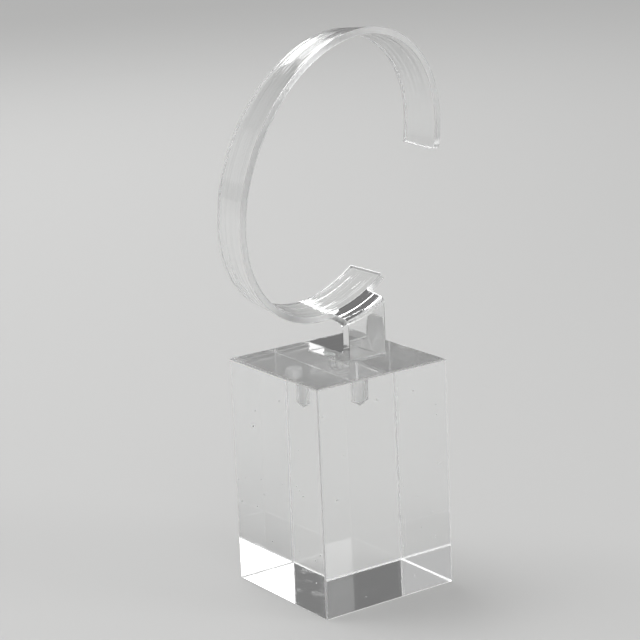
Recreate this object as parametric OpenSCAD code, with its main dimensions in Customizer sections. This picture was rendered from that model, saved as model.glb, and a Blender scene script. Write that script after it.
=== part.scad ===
// Clear acrylic display stand for one bracelet or watch. An open oval strip stands over an upright block on a bent
// leg and foot, and a peg under the foot holds it in a hole drilled in the block's top.
// Millimetres, +Z up. X runs left to right, Y front to back. The origin is the middle of the block's underside.

/* [Block] */
// Width of the block, left to right
block_w = 40; // [30:1:80]
// Depth of the block, front to back
block_d = 39; // [30:1:80]
// Height of the block
block_h = 60; // [25:1:120]
// Width of the bevel polished on the block's edges
block_bevel = 0.3; // [0.1:0.1:2]

/* [Hole and peg] */
// Diameter of the drilled hole
hole_d = 5; // [3:0.5:8]
// Depth of the hole's straight wall, above the drill's point
hole_depth = 9.3; // [5:0.1:18]
// Angle of the drill's point
drill_angle = 118; // [90:1:140]
// Distance of the hole to the right of the block's middle
hole_x = 0.7; // [-3:0.1:3]
// How far the peg reaches down into the hole
peg_depth = 4; // [2:0.1:5]
// Gap all round between the peg and the hole
peg_clearance = 0.05; // [0.02:0.01:0.2]
// Bevel at the peg's lower end
peg_bevel = 0.3; // [0.1:0.1:0.8]

/* [Foot and leg] */
// Height of the foot above the block's top
foot_gap = 1.8; // [0.5:0.1:6]
// Thickness of the foot and leg
arm_t = 2.5; // [1.5:0.1:4]
// Width of the foot, leg and tab, left to right
arm_w = 11.7; // [8:0.1:20]
// Length of the foot, front to back
foot_l = 18.5; // [15:0.5:22]
// Distance of the peg's axis behind the leg's front face
peg_set = 12.5; // [9:0.1:14]
// Radius of the bend between leg and foot, outside
heel_r = 1.2; // [0.5:0.1:2.5]
// Radius of the bends' inner side
crease_r = 1.5; // [0.3:0.1:2]

/* [Tab] */
// Distance from the leg's front face back to the strip's front edge
tab_l = 7.1; // [6:0.1:12]
// Slope of the tab's top, down towards the leg
tab_slope = 6; // [2:1:12]
// Slope of the tab's underside, which thickens it towards the leg
under_slope = 10; // [4:1:16]
// Radius of the bend between tab and leg, outside
knee_r = 1.7; // [0.5:0.1:2.5]
// Fillet where the tab's sides leave the strip
root_r = 0.7; // [0.2:0.1:2]

/* [Oval strip] */
// Length of the oval over its outside, along its long axis
oval_l = 76.8; // [60:0.1:100]
// Width of the oval over its outside, across its long axis
oval_w = 55.3; // [48:0.1:70]
// Lean of the oval's long axis from upright, to the right
oval_lean = 31.5; // [10:0.5:45]
// Distance of the oval's middle to the left of the peg's axis
oval_shift = 0.2; // [-2:0.1:2]
// Clear height between the foot's top and the strip above it
strip_rise = 7.8; // [6:0.1:20]
// Width of the strip, front to back
strip_w = 12.3; // [8:0.1:20]
// Thickness of the strip
strip_t = 1.65; // [1.2:0.05:3]
// How much smaller the oval is at its back edge, in percent
oval_taper = 3.2; // [0:0.1:5]
// Place of the strip's upper end at the front edge, as the oval's angle from its narrow axis
upper_end = 27.2; // [10:0.1:60]
// Place of the strip's lower end at the front edge, as the oval's angle below its narrow axis
lower_end = 27.2; // [20:0.1:31]
// How much earlier the back edge stops at both ends, as the oval's angle
end_skew = 1.6; // [0:0.1:4]
// Corner radius at the front edge of the upper end
upper_corner_r = 1.8; // [0.3:0.1:4]
// Corner radius at the front edge of the lower end
lower_corner_r = 0.8; // [0.3:0.1:3]
// Corner radius of both ends at the back edge
back_corner_r = 0.4; // [0.2:0.1:3]

/* [Hidden] */
round_faces = 96;

// Heights, from the block's top upwards
foot_bottom = block_h + foot_gap;
foot_top = foot_bottom + arm_t;
shoulder_z = block_h - hole_depth;

// The drill's point and the peg
peg_r = hole_d / 2 - peg_clearance;
point_h = hole_d / 2 / tan(drill_angle / 2);

// Front to back: leg, strip and foot are placed from the peg's axis
leg_front = -peg_set;
leg_back = leg_front + arm_t;
foot_back = leg_front + foot_l;
strip_front = leg_front + tab_l;
strip_back = strip_front + strip_w;
arm_left = hole_x - arm_w / 2;
arm_right = hole_x + arm_w / 2;

// The oval's middle, set so that its lowest point clears the foot by strip_rise
oval_x = hole_x - oval_shift;
oval_half_h = norm([oval_w / 2 * sin(oval_lean), oval_l / 2 * cos(oval_lean)]);
oval_z = foot_top + strip_rise + oval_half_h;

// Steps along the strip, round each of its corners, across the arm and round each bend
strip_step = 2;
corner_steps = 6;
arm_steps = 14;
bend_steps = 8;
// Depth of the tab's root inside the strip, and how far it stays within the strip's faces
root_l = 0.4;
root_inset = 0.03;

// Size of the oval at a distance y, as a share of its size at the strip's front edge
function oval_scale(y) = 1 - oval_taper / 100 * (y - strip_front) / strip_w;

// Point of the oval at an angle, at a depth under its outer face
function oval_point(angle, depth, y) =
    let (
        across = (oval_w / 2 * oval_scale(y) - depth) * cos(angle),
        along = (oval_l / 2 * oval_scale(y) - depth) * sin(angle)
    )
    [
        oval_x + across * cos(oval_lean) + along * sin(oval_lean),
        y,
        oval_z - across * sin(oval_lean) + along * cos(oval_lean)
    ];

// Height of the oval's lower side at x, from the quadratic that the leaning ellipse gives
function oval_low_z(x, depth, y) =
    let (
        a = oval_w / 2 * oval_scale(y) - depth,
        b = oval_l / 2 * oval_scale(y) - depth,
        s = sin(oval_lean),
        c = cos(oval_lean),
        offset_x = x - oval_x,
        q2 = s * s / (a * a) + c * c / (b * b),
        q1 = offset_x * s * c * (1 / (b * b) - 1 / (a * a)),
        q0 = offset_x * offset_x * (c * c / (a * a) + s * s / (b * b)) - 1
    )
    oval_z - (q1 + sqrt(q1 * q1 - q2 * q0)) / q2;

// Millimetres of strip for each degree of the oval's angle
function speed(angle) = norm([oval_w / 2 * sin(angle), oval_l / 2 * cos(angle)]) * PI / 180;

// How far a rounded corner draws an edge in, at a distance from the strip's end
function corner_inset(distance, r) = distance >= r ? 0 : r - sqrt(r * r - (r - distance) * (r - distance));

// Points of a bend in the plane of Y and Z
function bend(centre_y, centre_z, r, from, to) =
    [for (i = [0:bend_steps]) let (angle = from + (to - from) * i / bend_steps)
        [centre_y + r * cos(angle), centre_z + r * sin(angle)]];

// Closed shell between two grids of points of the same size
module shell(outer, inner) {
    rows = len(outer);
    cols = len(outer[0]);
    size = rows * cols;
    grid_faces = [for (i = [0:rows - 2], j = [0:cols - 2]) let (k = i * cols + j)
        each [[k, k + cols, k + cols + 1], [k, k + cols + 1, k + 1]]];
    rim = concat(
        [for (j = [0:cols - 2]) [j, j + 1]],
        [for (i = [0:rows - 2]) [i * cols + cols - 1, (i + 1) * cols + cols - 1]],
        [for (j = [cols - 1:-1:1]) [(rows - 1) * cols + j, (rows - 1) * cols + j - 1]],
        [for (i = [rows - 1:-1:1]) [i * cols, (i - 1) * cols]]
    );
    polyhedron(
        points = [for (grid = [outer, inner]) for (row = grid) each row],
        faces = concat(
            grid_faces,
            [for (f = grid_faces) [f[2] + size, f[1] + size, f[0] + size]],
            [for (e = rim) each [[e[0], e[1], e[1] + size], [e[0], e[1] + size, e[0] + size]]]
        ),
        convexity = 6
    );
}

// Rectangle with its corners cut off by the bevel
module bevelled_outline(w, h, bevel) {
    difference() {
        square([w, h], center = true);
        for (sx = [-1, 1], sy = [-1, 1])
            translate([sx * w / 2, sy * h / 2]) rotate(45) square(bevel * sqrt(2), center = true);
    }
}

// Cuboid with every edge bevelled, standing on the plane z = 0
module bevelled_block(w, d, h, bevel) {
    translate([0, 0, h / 2]) intersection() {
        linear_extrude(h, center = true) bevelled_outline(w, d, bevel);
        rotate([90, 0, 0]) linear_extrude(d, center = true) bevelled_outline(w, h, bevel);
        rotate([90, 0, 90]) linear_extrude(w, center = true) bevelled_outline(d, h, bevel);
    }
}

// Blind drilled hole: straight wall, drill's point and a little height above the block's top
module drilled_hole() {
    translate([hole_x, 0, shoulder_z]) rotate_extrude($fn = round_faces)
        polygon([[0, -point_h], [hole_d / 2, 0], [hole_d / 2, hole_depth + 1], [0, hole_depth + 1]]);
}

module block() {
    color("azure", 0.5) difference() {
        bevelled_block(block_w, block_d, block_h, block_bevel);
        drilled_hole();
    }
}

// The peg carries the foot, and its lower end is held in the upper part of the hole
module peg() {
    peg_h = peg_depth + foot_gap;
    color("white", 0.8) translate([hole_x, 0, foot_bottom - peg_h]) rotate_extrude($fn = round_faces)
        polygon([[0, 0], [peg_r - peg_bevel, 0], [peg_r, peg_bevel], [peg_r, peg_h], [0, peg_h]]);
}

// Places along one edge of the strip, as [angle, inset]: a rounded corner, the run and the other corner
function edge_places(first, last, first_r, last_r) =
    let (
        run_first = first + first_r / speed(first),
        run_last = last - last_r / speed(last),
        run_steps = ceil((360 - upper_end - lower_end) / strip_step)
    )
    concat(
        [for (i = [0:corner_steps - 1]) let (d = first_r * (1 - cos(90 * i / corner_steps)))
            [first + d / speed(first), corner_inset(d, first_r)]],
        [for (i = [0:run_steps]) [run_first + (run_last - run_first) * i / run_steps, 0]],
        [for (i = [corner_steps - 1:-1:0]) let (d = last_r * (1 - cos(90 * i / corner_steps)))
            [last - d / speed(last), corner_inset(d, last_r)]]
    );

// Open oval strip, from its upper end over the top and round the left to its lower end
module strip() {
    front = edge_places(upper_end, 360 - lower_end, upper_corner_r, lower_corner_r);
    back = edge_places(upper_end + end_skew, 360 - lower_end - end_skew, back_corner_r, back_corner_r);
    rows = [for (depth = [0, strip_t]) [for (i = [0:len(front) - 1]) [
        oval_point(front[i][0], depth, strip_front + front[i][1]),
        oval_point(back[i][0], depth, strip_back - back[i][1])
    ]]];
    shell(rows[0], rows[1]);
}

// Heights of the tab's top and underside
function tab_top(x, y) =
    oval_low_z(x, strip_t, max(y, strip_front)) - root_inset - tan(tab_slope) * max(strip_front - y, 0);
function tab_under(x, y) =
    oval_low_z(x, 0, max(y, strip_front)) + root_inset - tan(under_slope) * max(strip_front - y, 0);

// Distances of the tab's steps from the strip's front edge, from inside the strip to the end of the root fillet
root_steps = concat([-root_l], [for (i = [0:4]) root_r * (1 - cos(90 * i / 4))]);

// Outer side of the arm at x: root, tab, knee, leg, heel and foot, as [y, z]
function arm_outer(x) =
    let (tangent_y = leg_front + knee_r * (1 - sin(tab_slope)))
    concat(
        [for (d = root_steps) [strip_front - d, tab_top(x, strip_front - d)]],
        bend(leg_front + knee_r, tab_top(x, tangent_y) - knee_r * cos(tab_slope), knee_r, 90 + tab_slope, 180),
        bend(leg_front + heel_r, foot_bottom + heel_r, heel_r, 180, 270),
        [[foot_back, foot_bottom]]
    );

// Inner side of the arm at x, with a point for each one of the outer side
function arm_inner(x) =
    let (tangent_y = leg_back + crease_r * (1 - sin(under_slope)))
    concat(
        [for (d = root_steps) [strip_front - d, tab_under(x, strip_front - d)]],
        bend(leg_back + crease_r, tab_under(x, tangent_y) - crease_r * cos(under_slope), crease_r, 90 + under_slope, 180),
        bend(leg_back + crease_r, foot_top + crease_r, crease_r, 180, 270),
        [[foot_back, foot_top]]
    );

// Tab, leg and foot: one band that hangs from the strip's front edge and turns back under it
module arm() {
    middle = (arm_left + arm_right) / 2;
    shares = [for (i = [0:arm_steps]) 2 * i / arm_steps - 1];
    cols = len(arm_outer(middle)) - 1;
    // The root fillet's half width is added at the root's steps only
    flares = [for (j = [0:cols]) j < len(root_steps) ? corner_inset(max(root_steps[j], 0), root_r) : 0];
    xs = [for (s = shares) [for (f = flares) middle + s * (arm_w / 2 + f)]];
    shell(
        [for (row = xs) [for (j = [0:cols]) let (p = arm_outer(row[j])[j]) [row[j], p[0], p[1]]]],
        [for (row = xs) [for (j = [0:cols]) let (p = arm_inner(row[j])[j]) [row[j], p[0], p[1]]]]
    );
}

// Strip, tab, leg and foot are one piece
module c_ring() {
    color("azure", 0.5) union() {
        strip();
        arm();
    }
}

block();
peg();
c_ring();
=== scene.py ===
import math

import bpy
import numpy as np
from mathutils import Matrix, Quaternion, Vector


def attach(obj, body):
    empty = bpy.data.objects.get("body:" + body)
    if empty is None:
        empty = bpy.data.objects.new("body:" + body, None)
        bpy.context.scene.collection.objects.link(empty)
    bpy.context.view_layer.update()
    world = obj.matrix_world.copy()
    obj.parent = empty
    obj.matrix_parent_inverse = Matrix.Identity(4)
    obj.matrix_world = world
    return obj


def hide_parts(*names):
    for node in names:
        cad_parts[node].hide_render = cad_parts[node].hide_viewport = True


# A clear acrylic stand for one bracelet or watch: an upright block, a peg, and an open oval strip on a bent leg.
# Metres, +Z up, in the frame's own place. Sizes in the dictionaries are millimetres where they say so.
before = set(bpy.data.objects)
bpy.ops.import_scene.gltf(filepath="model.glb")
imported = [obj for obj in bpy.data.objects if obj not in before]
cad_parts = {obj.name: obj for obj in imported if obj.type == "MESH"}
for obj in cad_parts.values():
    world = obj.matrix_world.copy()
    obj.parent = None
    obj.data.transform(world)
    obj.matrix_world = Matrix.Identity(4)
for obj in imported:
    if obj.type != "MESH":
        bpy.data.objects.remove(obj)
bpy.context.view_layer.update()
mm = 0.001
print("stage: frame loaded")


# The camera stands where the photograph was taken from: turned round Z, raised, tilted a little and aimed at a point
viewpoint = {
    "azimuth": -34.68,
    "elevation": 14.78,
    "roll": -2.48,
    "distance": 0.5605,
    "aim": (-0.0047, 0.0, 0.0710),
    "lens": 125.25,
    "sensor": 36.0,
}


def makeCamera():
    turn, lift, roll = (math.radians(viewpoint[k]) for k in ("azimuth", "elevation", "roll"))
    back = Vector((math.sin(turn) * math.cos(lift), -math.cos(turn) * math.cos(lift), math.sin(lift)))
    levelRight = Vector((math.cos(turn), math.sin(turn), 0.0))
    levelUp = back.cross(levelRight)
    right = levelRight * math.cos(roll) + levelUp * math.sin(roll)
    up = back.cross(right)
    data = bpy.data.cameras.new("photoCamera")
    data.lens = viewpoint["lens"]
    data.sensor_width = viewpoint["sensor"]
    data.clip_start = 0.01
    data.clip_end = 20.0
    camera = bpy.data.objects.new("photoCamera", data)
    place = Vector(viewpoint["aim"]) + back * viewpoint["distance"]
    camera.matrix_world = Matrix((
        (right.x, up.x, back.x, place.x),
        (right.y, up.y, back.y, place.y),
        (right.z, up.z, back.z, place.z),
        (0.0, 0.0, 0.0, 1.0),
    ))
    bpy.context.scene.collection.objects.link(camera)
    bpy.context.scene.camera = camera


makeCamera()
print("stage: camera placed")


# The bent strip, in millimetres and degrees: the oval, its two ends, the tab, leg and foot. From rimRadius on, the
# values are for the mesh alone: its rim, its spacing, and how far a rounded corner's spacing fades out
strip = {
    "pegX": 0.7,
    "ovalX": 0.5,
    "ovalLength": 76.8,
    "ovalWidth": 55.3,
    "lean": 31.5,
    "lowest": 72.1,
    "front": -5.4,
    "width": 12.3,
    "thickness": 1.65,
    "taper": 0.032,
    "upperEnd": 27.2,
    "lowerEnd": 27.2,
    "endSkew": 1.6,
    "upperCorner": 1.8,
    "lowerCorner": 0.8,
    "backCorner": 0.4,
    "armWidth": 11.7,
    "armThickness": 2.5,
    "legFront": -12.5,
    "footBottom": 61.8,
    "footBack": 6.0,
    "footCorner": 0.5,
    "heelRadius": 1.2,
    "creaseRadius": 1.5,
    "kneeRadius": 1.7,
    "tabSlope": 6.0,
    "underSlope": 10.0,
    "rootRadius": 0.7,
    "rimRadius": 0.14,
    "rimSupport": 0.1,
    "rowStep": 0.8,
    "tabArc": (250.0, 332.0),
    "shiftRun": (14.0, 7.0),
    "ease": (0, 0.1, 0.25, 0.45, 0.7, 1.0, 1.4, 1.9, 2.5),
    "upperEase": 1.6,
    "lowerEase": 0.9,
    "cornerReach": 2.4,
    "footReach": 4.0,
    "steps": {
        "tab": 14, "bend": 18, "leg": 8, "foot": 30, "root": 7, "rim": 5,
        "table": 4000, "tabRun": 32, "tabCorner": 4, "widthRun": 11, "widthCorner": 7,
    },
}


def halfAxes(depth, y):
    # The oval's half axes at y: they shrink evenly towards the back, and are less by the depth under the outer face
    share = 1 - strip["taper"] * (y - strip["front"]) / strip["width"]
    return strip["ovalWidth"] / 2 * share - depth, strip["ovalLength"] / 2 * share - depth


def ovalMiddle():
    # Height of the oval's middle: its lowest point plus half its height, from the two half axes and the lean
    a, b = strip["ovalWidth"] / 2, strip["ovalLength"] / 2
    lean = math.radians(strip["lean"])
    return strip["lowest"] + math.hypot(a * math.sin(lean), b * math.cos(lean))


def ovalPoints(angle, depth, y):
    # Cosine and sine of the angle times the two half axes, turned by the lean; angle is in degrees
    a, b = halfAxes(depth, y)
    lean = math.radians(strip["lean"])
    across, along = a * np.cos(np.radians(angle)), b * np.sin(np.radians(angle))
    x = strip["ovalX"] + across * math.cos(lean) + along * math.sin(lean)
    z = ovalMiddle() - across * math.sin(lean) + along * math.cos(lean)
    return np.stack(np.broadcast_arrays(x, y, z), -1)


def lowerHeight(x, depth, y):
    # Height of the oval's lower side above x: the lower root of the quadratic that the leaning ellipse gives
    a, b = halfAxes(depth, y)
    s, c = math.sin(math.radians(strip["lean"])), math.cos(math.radians(strip["lean"]))
    offset = x - strip["ovalX"]
    q2 = s * s / a ** 2 + c * c / b ** 2
    q1 = offset * s * c * (1 / b ** 2 - 1 / a ** 2)
    q0 = offset ** 2 * (c * c / a ** 2 + s * s / b ** 2) - 1
    return ovalMiddle() - (q1 + np.sqrt(q1 ** 2 - q2 * q0)) / q2


def speed(angle):
    # Millimetres of strip for each degree of the oval's angle
    a, b = strip["ovalWidth"] / 2, strip["ovalLength"] / 2
    t = np.radians(angle)
    return np.hypot(a * np.sin(t), b * np.cos(t)) * math.pi / 180


def cornerInset(distance, radius):
    # How far a rounded corner draws the end in, at a distance from the side: nothing past the radius
    gap = np.clip(radius - distance, 0, radius)
    return radius - np.sqrt(np.maximum(radius ** 2 - gap ** 2, 0))


def roundedSteps(width, firstRadius, lastRadius, corner, run):
    # Places across a width, close together in both rounded corners and even between them
    lean = 1 - np.cos(np.linspace(0, math.pi / 2, corner + 1))
    return np.concatenate([
        firstRadius * lean[:-1],
        np.linspace(firstRadius, width - lastRadius, run + 1),
        width - lastRadius * lean[-2::-1],
    ])


def arcPoints(centreY, centreZ, radius, start, stop, steps):
    # Circle in the plane of Y and Z, as one row of points for each x: centre plus radius times cosine and sine
    t = np.radians(np.linspace(start, stop, steps + 1))
    return centreY + radius * np.cos(t)[:, None] + 0 * centreZ, centreZ + radius * np.sin(t)[:, None]


def armProfiles(columnX, inset):
    # Both faces of tab, leg and foot, each a grid of [step, column]: straight runs and circular bends in turn
    steps = strip["steps"]
    front, back = strip["legFront"], strip["legFront"] + strip["armThickness"]
    top = strip["footBottom"] + strip["armThickness"]
    slope, under = math.radians(strip["tabSlope"]), math.radians(strip["underSlope"])
    knee, crease, heel = strip["kneeRadius"], strip["creaseRadius"], strip["heelRadius"]
    start = strip["front"] - strip["rootRadius"]
    footEnd = strip["footBack"] - inset

    def height(x, y, depth, angle):
        # Height of the tab's face: the strip's own height at its edge, less the slope times the way out
        out = np.maximum(strip["front"] - y, 0)
        return lowerHeight(x, depth, np.maximum(y, strip["front"])) - math.tan(angle) * out

    def line(y, z):
        return np.broadcast_to(y, z.shape), z

    def side(depth, angle, legY, bend, lowBend, footZ):
        tangentY = legY + bend * (1 - math.sin(angle))
        tabY = np.linspace(start, tangentY, steps["tab"] + 1)[1:-1, None]
        bendZ = height(columnX, tangentY, depth, angle) - bend * math.cos(angle)
        kneeY, kneeZ = arcPoints(legY + bend, bendZ, bend, 90 + math.degrees(angle), 180, steps["bend"])
        heelY, heelZ = arcPoints(legY + lowBend, footZ + lowBend + 0 * bendZ, lowBend, 180, 270, steps["bend"])
        share = np.linspace(0, 1, steps["leg"] + 1)[1:-1, None]
        legZ = kneeZ[-1] + (heelZ[0] - kneeZ[-1]) * share
        footY = np.linspace(legY + lowBend, footEnd, steps["foot"] + 1)[1:, None]
        runs = [
            line(tabY, height(columnX, tabY, depth, angle)),
            (kneeY, kneeZ),
            line(np.full_like(legZ, legY), legZ),
            (heelY, heelZ),
            line(footY, footZ + 0 * footY + 0 * bendZ),
        ]
        return np.concatenate([r[0] for r in runs]), np.concatenate([r[1] for r in runs])

    face = side(strip["thickness"], slope, front, knee, heel, strip["footBottom"])
    rear = side(0.0, under, back, crease, crease, top)
    return face, rear, height


def sheetGrids():
    # The sheet's two faces on one pattern of points, drawn in from every edge by the rim's width.
    # The strip is a grid of stations by places across; the tab's columns carry on from its front edge.
    steps = strip["steps"]
    inset = strip["rimRadius"] + strip["rimSupport"]
    width = strip["width"] - 2 * inset
    yFront = strip["front"] + inset
    middle, half = strip["pegX"], strip["armWidth"] / 2
    root = strip["rootRadius"]

    # Tab columns, and the stations whose front points lie under them
    corner = strip["footCorner"] - inset
    places = roundedSteps(2 * (half - inset), corner, corner, steps["tabCorner"], steps["tabRun"])
    share = places / (half - inset) - 1
    rootX = middle + share * (half + root)
    table = np.linspace(*strip["tabArc"], steps["table"])
    outerAt = np.interp(rootX, ovalPoints(table, 0.0, yFront)[:, 0], table)
    innerAt = np.interp(rootX, ovalPoints(table, strip["thickness"], yFront)[:, 0], table)

    # Front angles of all stations: close together in the end corners, even between, and under the tab's columns
    first = strip["upperEnd"] + inset / speed(strip["upperEnd"])
    last = 360 - strip["lowerEnd"] - inset / speed(strip["lowerEnd"])
    ease = np.array(strip["ease"])
    upper = first + ease * strip["upperEase"] / speed(first)
    lower = last - ease[::-1] * strip["lowerEase"] / speed(last)
    runs = [upper]
    for a, b in ((upper[-1], outerAt[0]), (outerAt[-1], lower[0])):
        count = max(2, round((b - a) / strip["rowStep"]))
        runs.append(np.linspace(a, b, count + 1)[1:-1])
    stations = np.concatenate([runs[0], runs[1], outerAt, runs[2], lower])
    tabStart = len(runs[0]) + len(runs[1])
    tabEnd = tabStart + len(outerAt) - 1

    # The inner face's stations step aside near the tab, so that both faces share the tab's columns
    before, after = strip["shiftRun"]
    shift = np.interp(
        stations,
        np.concatenate([[outerAt[0] - before], outerAt, [outerAt[-1] + after]]),
        np.concatenate([[0], innerAt - outerAt, [0]]),
    )

    # Places across: the corner of each end fans out along the strip from one end's spacing to the other's
    far = (stations - first) / (last - first)
    back, fine, run = strip["backCorner"] - inset, steps["widthCorner"], steps["widthRun"]
    upperPlaces = roundedSteps(width, strip["upperCorner"] - inset, back, fine, run)
    lowerPlaces = roundedSteps(width, strip["lowerCorner"] - inset, back, fine, run)
    across = upperPlaces + (lowerPlaces - upperPlaces) * far[:, None]
    y = yFront + across

    # Angle of each point: skewed ends, and the rounded corners drawn in and eased out along the strip
    skew = strip["endSkew"] * across / width
    angle = stations[:, None] + skew * (1 - 2 * far[:, None])
    for end, sign, radius in ((0, 1, strip["upperCorner"]), (-1, -1, strip["lowerCorner"])):
        way = np.abs(stations - stations[end]) * speed(stations[end])
        fade = np.clip(1 - way / (strip["cornerReach"] * radius), 0, 1)[:, None]
        draw = cornerInset(across, radius - inset) + cornerInset(width - across, strip["backCorner"] - inset)
        angle = angle + sign * fade * draw / speed(stations[end])
    outer = ovalPoints(angle, 0.0, y)
    inner = ovalPoints(angle + shift[:, None], strip["thickness"], y)

    # Root of the tab: quarter circles on both sides, from the strip's edge out to the tab's own width
    reach = root + inset
    turn = np.linspace(math.pi / 2, 0, steps["root"] + 1)[1:]
    rootY = (strip["front"] - root + reach * np.sin(turn))[:, None]
    rootHalf = (half + root - reach * np.cos(turn))[:, None]
    columnX = middle + share * (half - inset)
    (faceY, faceZ), (rearY, rearZ), height = armProfiles(columnX, inset)
    gridX = np.concatenate([middle + share * rootHalf, np.broadcast_to(columnX, faceY.shape)])
    columns = gridX[:steps["root"]]
    rootTop = height(columns, rootY, strip["thickness"], math.radians(strip["tabSlope"]))
    rootUnder = height(columns, rootY, 0.0, math.radians(strip["underSlope"]))
    wide = np.broadcast_to(rootY, rootTop.shape)
    face = np.stack([gridX, np.concatenate([wide, faceY]), np.concatenate([rootTop, faceZ])], -1)
    rear = np.stack([gridX, np.concatenate([wide, rearY]), np.concatenate([rootUnder, rearZ])], -1)

    # The foot's back corners are rounded: the last rows are drawn in near both sides
    side = (half - inset) * (1 - np.abs(share))
    fade = strip["footReach"] * corner
    for grid in (face, rear):
        foot = grid[-steps["foot"]:]
        nearEnd = np.clip((foot[..., 1] - (strip["footBack"] - inset - fade)) / fade, 0, 1)
        foot[..., 1] -= nearEnd * cornerInset(side, corner)
    return inner, outer, face, rear, tabStart, tabEnd


def gridQuads(ids):
    return np.stack([ids[:-1, :-1], ids[1:, :-1], ids[1:, 1:], ids[:-1, 1:]], -1).reshape(-1, 4)


def sheetShell():
    # Closed shell: the two faces, and a rim carried round their shared border, rounded at both of its edges
    inner, outer, face, rear, tabStart, tabEnd = sheetGrids()
    rows, cols = inner.shape[:2]
    tabRows, tabCols = face.shape[:2]
    stripIds = np.arange(rows * cols).reshape(rows, cols)
    tabIds = rows * cols + np.arange(tabRows * tabCols).reshape(tabRows, tabCols)
    tabIds = np.concatenate([stripIds[tabStart:tabEnd + 1, 0][None], tabIds])
    faceA = np.concatenate([inner.reshape(-1, 3), face.reshape(-1, 3)])
    faceB = np.concatenate([outer.reshape(-1, 3), rear.reshape(-1, 3)])
    quads = np.concatenate([gridQuads(stripIds), gridQuads(tabIds.T)])
    border = np.concatenate([
        stripIds[0, ::-1],
        stripIds[1:tabStart, 0],
        tabIds[:-1, 0],
        tabIds[-1, :],
        tabIds[-2:0:-1, -1],
        stripIds[tabEnd:rows - 1, 0],
        stripIds[-1, :],
        stripIds[-2:0:-1, -1],
    ])

    # Outward along the sheet at the border: the border's own direction crossed with the way through the sheet
    a, b = faceA[border], faceB[border]
    middle = (a + b) / 2
    along = np.roll(middle, -1, 0) - np.roll(middle, 1, 0)
    through = b - a
    thickness = np.linalg.norm(through, axis=1, keepdims=True)
    through = through / thickness
    out = np.cross(along, through)
    out /= np.linalg.norm(out, axis=1, keepdims=True)
    r, support = strip["rimRadius"], strip["rimSupport"]
    turn = np.linspace(0, math.pi / 2, strip["steps"]["rim"] + 1)
    outward = np.concatenate([[0], support + r * np.sin(turn), [support + r]])
    inward = np.concatenate([[0], r - r * np.cos(turn), [r + support]])
    rings = [a + o * out + d * through for o, d in zip(outward[1:], inward[1:])]
    rings += [b + o * out - d * through for o, d in zip(outward[:0:-1], inward[:0:-1])]
    points = np.concatenate([faceA, faceB] + rings)
    count, loop = len(faceA), len(border)
    ringIds = np.concatenate([
        border[None],
        2 * count + np.arange(len(rings) * loop).reshape(len(rings), loop),
        border[None] + count,
    ])
    ahead = np.roll(ringIds, -1, 1)
    band = np.stack([ringIds[:-1], ringIds[1:], ahead[1:], ahead[:-1]], -1).reshape(-1, 4)
    faces = np.concatenate([quads, quads[:, ::-1] + count, band])
    corners = points[faces]
    volume = np.einsum("ij,ij->i", corners[:, 0], np.cross(corners[:, 1], corners[:, 2])).sum()
    volume += np.einsum("ij,ij->i", corners[:, 0], np.cross(corners[:, 2], corners[:, 3])).sum()
    if volume < 0:
        faces = faces[:, ::-1]
    print(f"strip shell: {len(points)} points, {len(faces)} quads, {abs(volume) / 6:.0f} cubic millimetres")
    rim = np.zeros(len(points))
    rim[2 * count:] = 1
    return points * mm, faces, rim


def meshObject(name, points, faces, smooth=True):
    mesh = bpy.data.meshes.new(name)
    mesh.vertices.add(len(points))
    mesh.vertices.foreach_set("co", points.astype(np.float32).ravel())
    mesh.loops.add(faces.size)
    mesh.loops.foreach_set("vertex_index", faces.astype(np.int32).ravel())
    mesh.polygons.add(len(faces))
    mesh.polygons.foreach_set("loop_start", np.arange(0, faces.size, faces.shape[1], dtype=np.int32))
    mesh.polygons.foreach_set("use_smooth", np.full(len(faces), smooth))
    mesh.update(calc_edges=True)
    mesh.validate()
    piece = bpy.data.objects.new(name, mesh)
    bpy.context.scene.collection.objects.link(piece)
    return piece


shellPoints, shellFaces, shellRim = sheetShell()
bentStrip = meshObject("bentStrip", shellPoints, shellFaces)
bentStrip.data.attributes.new("rim", "FLOAT", "POINT").data.foreach_set("value", shellRim)
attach(bentStrip, "root")
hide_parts("c_ring")
print("stage: bent strip made")


# Studio: a plain pale floor, a broad soft light from above, soft boxes round the stand, and a soft grey surround
studio = {
    "floorSize": 12.0,
    "floorGap": 0.00006,
    "floorColour": (0.52, 0.52, 0.515, 1),
    "floorRoughness": 0.7,
    "surround": 0.18,
    "aimedAt": (0.0, 0.0, 0.07),
    "overhead": {"from": (-0.12, 0.35, 1.0), "spread": 28, "strength": 1.8},
    "boxes": {
        "frontRightBox": {"place": (0.52, -0.74, 0.36), "size": (0.36, 0.40), "turn": 0, "spread": 60, "power": 0.26},
        "backBox": {"place": (0.24, 0.80, 0.63), "size": (0.54, 0.16), "turn": 25, "spread": 180, "power": 1.8},
        "backLeftBox": {"place": (-0.55, 0.78, 0.34), "size": (0.50, 0.30), "turn": 0, "spread": 180, "power": 0.15},
        "frontBox": {"place": (-0.72, -1.92, 1.68), "size": (1.44, 1.44), "turn": 0, "spread": 180, "power": 14.0},
        "rearBox": {"place": (-1.12, 1.12, 1.92), "size": (1.12, 0.96), "turn": 0, "spread": 180, "power": 12.5},
    },
}


def makeFloor():
    half = studio["floorSize"] / 2
    corners = np.array([[-half, -half], [half, -half], [half, half], [-half, half]])
    points = np.column_stack([corners, np.full(4, -studio["floorGap"])])
    floor = meshObject("studioFloor", points, np.array([[0, 1, 2, 3]]), smooth=False)
    material = bpy.data.materials.new("paleFloor")
    material.use_nodes = True
    shader = material.node_tree.nodes["Principled BSDF"]
    shader.inputs["Base Color"].default_value = studio["floorColour"]
    shader.inputs["Roughness"].default_value = studio["floorRoughness"]
    floor.data.materials.append(material)


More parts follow.
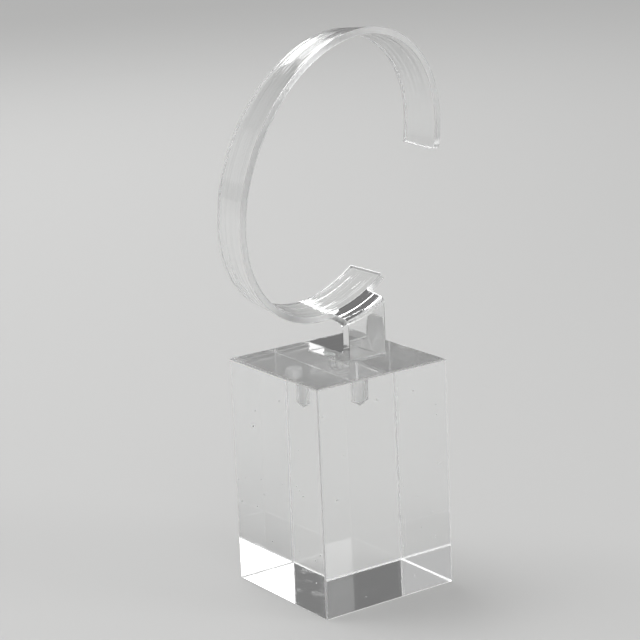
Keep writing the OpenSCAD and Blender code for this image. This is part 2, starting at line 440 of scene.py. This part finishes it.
def makeLights():
    for name, box in studio["boxes"].items():
        data = bpy.data.lights.new(name, "AREA")
        data.shape = "RECTANGLE"
        data.size, data.size_y = box["size"]
        data.energy = box["power"]
        data.spread = math.radians(box["spread"])
        light = bpy.data.objects.new(name, data)
        light.location = box["place"]
        light.rotation_mode = "QUATERNION"
        aimed = (Vector(studio["aimedAt"]) - Vector(box["place"])).to_track_quat("-Z", "Y")
        light.rotation_quaternion = aimed @ Quaternion((0, 0, 1), math.radians(box["turn"]))
        light.visible_camera = False
        bpy.context.scene.collection.objects.link(light)
    overhead = studio["overhead"]
    data = bpy.data.lights.new("overhead", "SUN")
    data.angle = math.radians(overhead["spread"])
    data.energy = overhead["strength"]
    light = bpy.data.objects.new("overhead", data)
    light.rotation_mode = "QUATERNION"
    light.rotation_quaternion = Vector(overhead["from"]).to_track_quat("Z", "Y")
    bpy.context.scene.collection.objects.link(light)
    world = bpy.data.worlds.new("studioSurround")
    world.use_nodes = True
    world.node_tree.nodes["Background"].inputs["Color"].default_value = (1, 1, 1, 1)
    world.node_tree.nodes["Background"].inputs["Strength"].default_value = studio["surround"]
    bpy.context.scene.world = world


makeFloor()
makeLights()
print("stage: studio set up")


# Finishes. Groups hold what the clear pieces share; each piece's material has its own values
def startGroup(name, inputs, outputs):
    group = bpy.data.node_groups.new(name, "ShaderNodeTree")
    for label, value in inputs.items():
        group.interface.new_socket(name=label, in_out="INPUT", socket_type="NodeSocketFloat").default_value = value
    for label in outputs:
        group.interface.new_socket(name=label, in_out="OUTPUT", socket_type="NodeSocketFloat")
    return group, group.nodes.new("NodeGroupInput"), group.nodes.new("NodeGroupOutput")


def addNode(tree, kind, values=None, **settings):
    # A new node with its settings; values is a dictionary of sockets, each a plain value or another node's socket
    node = tree.nodes.new(kind)
    for label, value in settings.items():
        setattr(node, label, value)
    for label, value in (values or {}).items():
        if isinstance(value, bpy.types.NodeSocket):
            tree.links.new(value, node.inputs[label])
        else:
            node.inputs[label].default_value = value
    return node


def sums(tree, operation, *values):
    # One Math node on plain values or sockets; gives back its result
    return addNode(tree, "ShaderNodeMath", dict(enumerate(values)), operation=operation).outputs[0]


def ramp(tree, value, low, high, toLow=0.0, toHigh=1.0):
    # Smooth change from one value to another while the given one goes from low to high
    values = {"Value": value, "From Min": low, "From Max": high, "To Min": toLow, "To Max": toHigh}
    return addNode(tree, "ShaderNodeMapRange", values, interpolation_type="SMOOTHSTEP").outputs["Result"]


handling = {
    "smearScale": 70.0,
    "smearBand": (0.42, 0.68),
    "patchScale": 130.0,
    "patchBand": (0.5, 0.66),
    "scratchWidth": 0.02,
    "scratchDepth": 0.3,
    "scratches": (((0.5, 0.9, 0.3), (900.0, 40.0, 60.0)), ((1.3, 0.2, 1.1), (50.0, 1100.0, 45.0))),
    "speckRadius": 0.03,
    "speckSpread": 0.07,
}


def wornPolish():
    # Handling marks on polished acrylic: soft smears, fine scratches that come and go, and specks of dust
    group, given, result = startGroup("wornPolish", {
        "Smear": 0.02, "Scratch": 0.1, "Dust": 0.5, "Dust Share": 0.3, "Dust Scale": 420.0,
    }, ("Roughness", "Height"))
    place = addNode(group, "ShaderNodeTexCoord").outputs["Object"]
    cloud = addNode(group, "ShaderNodeTexNoise", {"Vector": place, "Scale": handling["smearScale"], "Detail": 4.0})
    smear = ramp(group, cloud.outputs["Fac"], *handling["smearBand"])
    patch = addNode(group, "ShaderNodeTexNoise", {"Vector": place, "Scale": handling["patchScale"], "Detail": 1.0})
    scratches = 0.0
    for turn, scale in handling["scratches"]:
        turned = addNode(group, "ShaderNodeMapping", {"Vector": place, "Rotation": turn, "Scale": scale})
        cells = addNode(group, "ShaderNodeTexVoronoi", {"Vector": turned.outputs[0], "Scale": 1.0},
                        feature="DISTANCE_TO_EDGE")
        line = ramp(group, cells.outputs["Distance"], 0.0, handling["scratchWidth"], 1.0, 0.0)
        scratches = sums(group, "MAXIMUM", scratches, line)
    scratches = sums(group, "MULTIPLY", scratches, ramp(group, patch.outputs["Fac"], *handling["patchBand"]))
    dots = addNode(group, "ShaderNodeTexVoronoi", {"Vector": place, "Scale": given.outputs["Dust Scale"]})
    pick = addNode(group, "ShaderNodeSeparateColor", {"Color": dots.outputs["Color"]})
    size = sums(group, "MULTIPLY_ADD", pick.outputs["Green"], handling["speckSpread"], handling["speckRadius"])
    inside = sums(group, "LESS_THAN", dots.outputs["Distance"], size)
    chosen = sums(group, "LESS_THAN", pick.outputs["Red"], given.outputs["Dust Share"])
    dust = sums(group, "MULTIPLY", inside, chosen)
    total = sums(group, "MULTIPLY", smear, given.outputs["Smear"])
    total = sums(group, "MULTIPLY_ADD", scratches, given.outputs["Scratch"], total)
    total = sums(group, "MULTIPLY_ADD", dust, given.outputs["Dust"], total)
    group.links.new(total, result.inputs["Roughness"])
    height = sums(group, "MULTIPLY_ADD", scratches, -handling["scratchDepth"], dust)
    group.links.new(height, result.inputs["Height"])
    return group


def roundZone():
    # Mask of an upright round zone: the distance from its axis under the radius, and the height between two levels
    group, given, result = startGroup("roundZone", {
        "Axis X": 0.0, "Radius": 0.0026, "Low": 0.0, "High": 1.0, "Softness": 0.0002,
    }, ("Mask",))
    place = addNode(group, "ShaderNodeSeparateXYZ", {0: addNode(group, "ShaderNodeTexCoord").outputs["Object"]})
    across = sums(group, "SUBTRACT", place.outputs["X"], given.outputs["Axis X"])
    squares = sums(group, "MULTIPLY_ADD", across, across, sums(group, "POWER", place.outputs["Y"], 2.0))
    away = sums(group, "SQRT", squares)
    outer = sums(group, "ADD", given.outputs["Radius"], given.outputs["Softness"])
    disc = ramp(group, away, given.outputs["Radius"], outer, 1.0, 0.0)
    above = sums(group, "GREATER_THAN", place.outputs["Z"], given.outputs["Low"])
    under = sums(group, "LESS_THAN", place.outputs["Z"], given.outputs["High"])
    group.links.new(sums(group, "MULTIPLY", disc, sums(group, "MULTIPLY", above, under)), result.inputs["Mask"])
    return group


def bevelMask():
    # Mask of a box's bevels: the second smallest of the distances to its sides is under the bevel's width
    group, given, result = startGroup("bevelMask", {
        "Half X": 0.02, "Half Y": 0.0195, "Half Z": 0.03, "Width": 0.00031,
    }, ("Mask",))
    place = addNode(group, "ShaderNodeTexCoord").outputs["Object"]
    middle = addNode(group, "ShaderNodeCombineXYZ", {"Z": given.outputs["Half Z"]})
    centred = addNode(group, "ShaderNodeVectorMath", {0: place, 1: middle.outputs[0]}, operation="SUBTRACT")
    away = addNode(group, "ShaderNodeVectorMath", {0: centred.outputs[0]}, operation="ABSOLUTE")
    parts = addNode(group, "ShaderNodeSeparateXYZ", {0: away.outputs[0]})
    a, b, c = (sums(group, "SUBTRACT", given.outputs["Half " + axis], parts.outputs[axis]) for axis in "XYZ")
    second = sums(group, "MAXIMUM", sums(group, "MINIMUM", a, b),
                  sums(group, "MINIMUM", sums(group, "MAXIMUM", a, b), c))
    group.links.new(sums(group, "LESS_THAN", second, given.outputs["Width"]), result.inputs["Mask"])
    return group


groups = {"polish": wornPolish(), "zone": roundZone(), "bevels": bevelMask()}

# Clear acrylic: light bends by the index; shadowPass is the share of light that a surface lets through to the floor
acrylic = {
    "index": 1.49,
    "tint": (0.988, 0.992, 0.990, 1),
    "shadowPass": 0.82,
    "markStrength": 0.4,
}


def groupNode(tree, name, values):
    return addNode(tree, "ShaderNodeGroup", values, node_tree=groups[name])


def clearAcrylic(name, polish, markDepth):
    # Clear plastic with the shared handling marks; gives back the material, its tree and shader, the marks' roughness
    # and the bump that a piece's own relief carries on from
    material = bpy.data.materials.new(name)
    material.use_nodes = True
    tree = material.node_tree
    shader = tree.nodes["Principled BSDF"]
    shader.inputs["Base Color"].default_value = acrylic["tint"]
    shader.inputs["IOR"].default_value = acrylic["index"]
    shader.inputs["Transmission Weight"].default_value = 1.0
    isShadow = addNode(tree, "ShaderNodeLightPath").outputs["Is Shadow Ray"]
    tree.links.new(sums(tree, "MULTIPLY_ADD", isShadow, -acrylic["shadowPass"], 1.0), shader.inputs["Alpha"])
    marks = groupNode(tree, "polish", polish)
    bump = addNode(tree, "ShaderNodeBump", {"Strength": acrylic["markStrength"], "Distance": markDepth,
                                            "Height": marks.outputs["Height"]})
    tree.links.new(bump.outputs["Normal"], shader.inputs["Normal"])
    return material, tree, shader, marks.outputs["Roughness"], bump


blockFinish = {
    "holeX": 0.0007,
    "holeRadius": 0.0027,
    "holeLow": 0.0480,
    "holeHigh": 0.0599,
    "holeFrost": 0.8,
    "gritScale": 2500.0,
    "gritBand": (0.3, 0.7),
    "gritShare": 0.7,
    "drillPitch": 0.00035,
    "drillStrength": 0.5,
    "drillDepth": 0.00003,
    "markDepth": 0.00002,
    "bevelWidth": 0.00031,
    "bevelFrost": 0.9,
    "marks": {"Smear": 0.006, "Scratch": 0.05, "Dust": 0.6, "Dust Share": 0.22, "Dust Scale": 300.0},
}


def blockMaterial():
    # Cast block: the drilled hole is matt, with rings from the drill and unevenly ground, and the bevels are matt
    material, tree, shader, worn, bump = clearAcrylic("blockAcrylic", blockFinish["marks"], blockFinish["markDepth"])
    hole = groupNode(tree, "zone", {
        "Axis X": blockFinish["holeX"], "Radius": blockFinish["holeRadius"],
        "Low": blockFinish["holeLow"], "High": blockFinish["holeHigh"],
    })
    bevels = groupNode(tree, "bevels", {"Width": blockFinish["bevelWidth"]})
    place = addNode(tree, "ShaderNodeTexCoord").outputs["Object"]
    grit = addNode(tree, "ShaderNodeTexNoise", {"Vector": place, "Scale": blockFinish["gritScale"], "Detail": 2.0})
    clearest = blockFinish["holeFrost"] * blockFinish["gritShare"]
    uneven = ramp(tree, grit.outputs["Fac"], *blockFinish["gritBand"], clearest, blockFinish["holeFrost"])
    frost = sums(tree, "MULTIPLY", hole.outputs["Mask"], uneven)
    rough = sums(tree, "MAXIMUM", frost, sums(tree, "MULTIPLY", bevels.outputs["Mask"], blockFinish["bevelFrost"]))
    tree.links.new(sums(tree, "MAXIMUM", rough, worn), shader.inputs["Roughness"])
    turn = addNode(tree, "ShaderNodeSeparateXYZ", {0: place})
    rings = sums(tree, "SINE", sums(tree, "MULTIPLY", turn.outputs["Z"], math.tau / blockFinish["drillPitch"]))
    rings = sums(tree, "MULTIPLY", sums(tree, "ADD", rings, grit.outputs["Fac"]), hole.outputs["Mask"])
    drill = addNode(tree, "ShaderNodeBump", {
        "Strength": blockFinish["drillStrength"], "Distance": blockFinish["drillDepth"],
        "Height": rings, "Normal": bump.outputs["Normal"],
    })
    tree.links.new(drill.outputs["Normal"], shader.inputs["Normal"])
    return material


pegFinish = {
    "marks": {"Smear": 0.01, "Scratch": 0.05, "Dust": 0.4, "Dust Share": 0.1, "Dust Scale": 600.0},
    "sawnBelow": 0.0562,
    "sawnFrost": 0.35,
    "markDepth": 0.00001,
}


def pegMaterial():
    # A cut length of clear rod: its sawn lower end is left hazy
    material, tree, shader, worn, bump = clearAcrylic("pegAcrylic", pegFinish["marks"], pegFinish["markDepth"])
    place = addNode(tree, "ShaderNodeTexCoord").outputs["Object"]
    height = addNode(tree, "ShaderNodeSeparateXYZ", {0: place}).outputs["Z"]
    sawn = sums(tree, "MULTIPLY", sums(tree, "LESS_THAN", height, pegFinish["sawnBelow"]), pegFinish["sawnFrost"])
    tree.links.new(sums(tree, "MAXIMUM", sawn, worn), shader.inputs["Roughness"])
    return material


stripFinish = {
    "rimFrost": 0.42,
    "armFrost": 0.12,
    "armTop": 0.0722,
    "armBlend": 0.0008,
    "markDepth": 0.00002,
    "streak": 1.0,
    "streakDepth": 0.0001,
    "streakScale": (12.0, 520.0, 12.0),
    "bendWaves": 1.6,
    "waveBand": (-0.0080, -0.0050),
    "bendHaze": 0.05,
    "hazeBand": (-0.0070, -0.0050),
    "footEnd": 0.0057,
    "glueX": 0.0007,
    "glueRadius": 0.0024,
    "glueHigh": 0.0620,
    "glueFrost": 0.25,
    "marks": {"Smear": 0.012, "Scratch": 0.06, "Dust": 0.5, "Dust Share": 0.16, "Dust Scale": 420.0},
}


def stripMaterial():
    # Bent sheet: faint draw lines run along the strip, its sawn rim is a little hazy, and glue shows over the peg
    material, tree, shader, worn, bump = clearAcrylic("stripAcrylic", stripFinish["marks"], stripFinish["markDepth"])
    place = addNode(tree, "ShaderNodeTexCoord").outputs["Object"]
    stretched = addNode(tree, "ShaderNodeMapping", {"Vector": place, "Scale": stripFinish["streakScale"]})
    lines = addNode(tree, "ShaderNodeTexNoise", {"Vector": stretched.outputs[0], "Scale": 1.0, "Detail": 2.0})
    parts = addNode(tree, "ShaderNodeSeparateXYZ", {0: place})
    deeper = ramp(tree, parts.outputs["Y"], *stripFinish["waveBand"], stripFinish["bendWaves"], 1.0)
    waves = sums(tree, "MULTIPLY", lines.outputs["Fac"], deeper)
    streaks = addNode(tree, "ShaderNodeBump", {
        "Strength": stripFinish["streak"], "Distance": stripFinish["streakDepth"],
        "Height": waves, "Normal": bump.outputs["Normal"],
    })
    tree.links.new(streaks.outputs["Normal"], shader.inputs["Normal"])
    rim = addNode(tree, "ShaderNodeAttribute", attribute_name="rim").outputs["Fac"]
    low, high = stripFinish["armTop"] - stripFinish["armBlend"], stripFinish["armTop"] + stripFinish["armBlend"]
    above = ramp(tree, parts.outputs["Z"], low, high, stripFinish["armFrost"], stripFinish["rimFrost"])
    behind = sums(tree, "MULTIPLY", sums(tree, "GREATER_THAN", parts.outputs["Y"], stripFinish["footEnd"]),
                  stripFinish["rimFrost"])
    sawn = sums(tree, "MAXIMUM", above, behind)
    glue = groupNode(tree, "zone", {
        "Axis X": stripFinish["glueX"], "Radius": stripFinish["glueRadius"],
        "Low": 0.0, "High": stripFinish["glueHigh"],
    })
    rough = sums(tree, "MAXIMUM", sums(tree, "MULTIPLY", rim, sawn),
                 sums(tree, "MULTIPLY", glue.outputs["Mask"], stripFinish["glueFrost"]))
    haze = ramp(tree, parts.outputs["Y"], *stripFinish["hazeBand"], stripFinish["bendHaze"], 0.0)
    rough = sums(tree, "MAXIMUM", rough, haze)
    tree.links.new(sums(tree, "MAXIMUM", rough, worn), shader.inputs["Roughness"])
    return material


def dress(piece, material):
    # The piece's only material
    piece.data.materials.clear()
    piece.data.materials.append(material)


dress(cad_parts["block"], blockMaterial())
dress(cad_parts["peg"], pegMaterial())
dress(bentStrip, stripMaterial())
print("stage: finishes laid on")

# Enough bounces for light to leave the clear block. The fine light patterns on the floor are left out, and single
# very bright samples are held down, so the thin rims come out even
scene = bpy.context.scene
scene.cycles.max_bounces = 28
scene.cycles.transmission_bounces = 28
scene.cycles.glossy_bounces = 16
scene.cycles.transparent_max_bounces = 24
scene.cycles.caustics_reflective = False
scene.cycles.caustics_refractive = False
scene.cycles.sample_clamp_indirect = 2.5
scene.cycles.use_denoising = True
scene.view_settings.view_transform = "Standard"
print("stage: render settings")
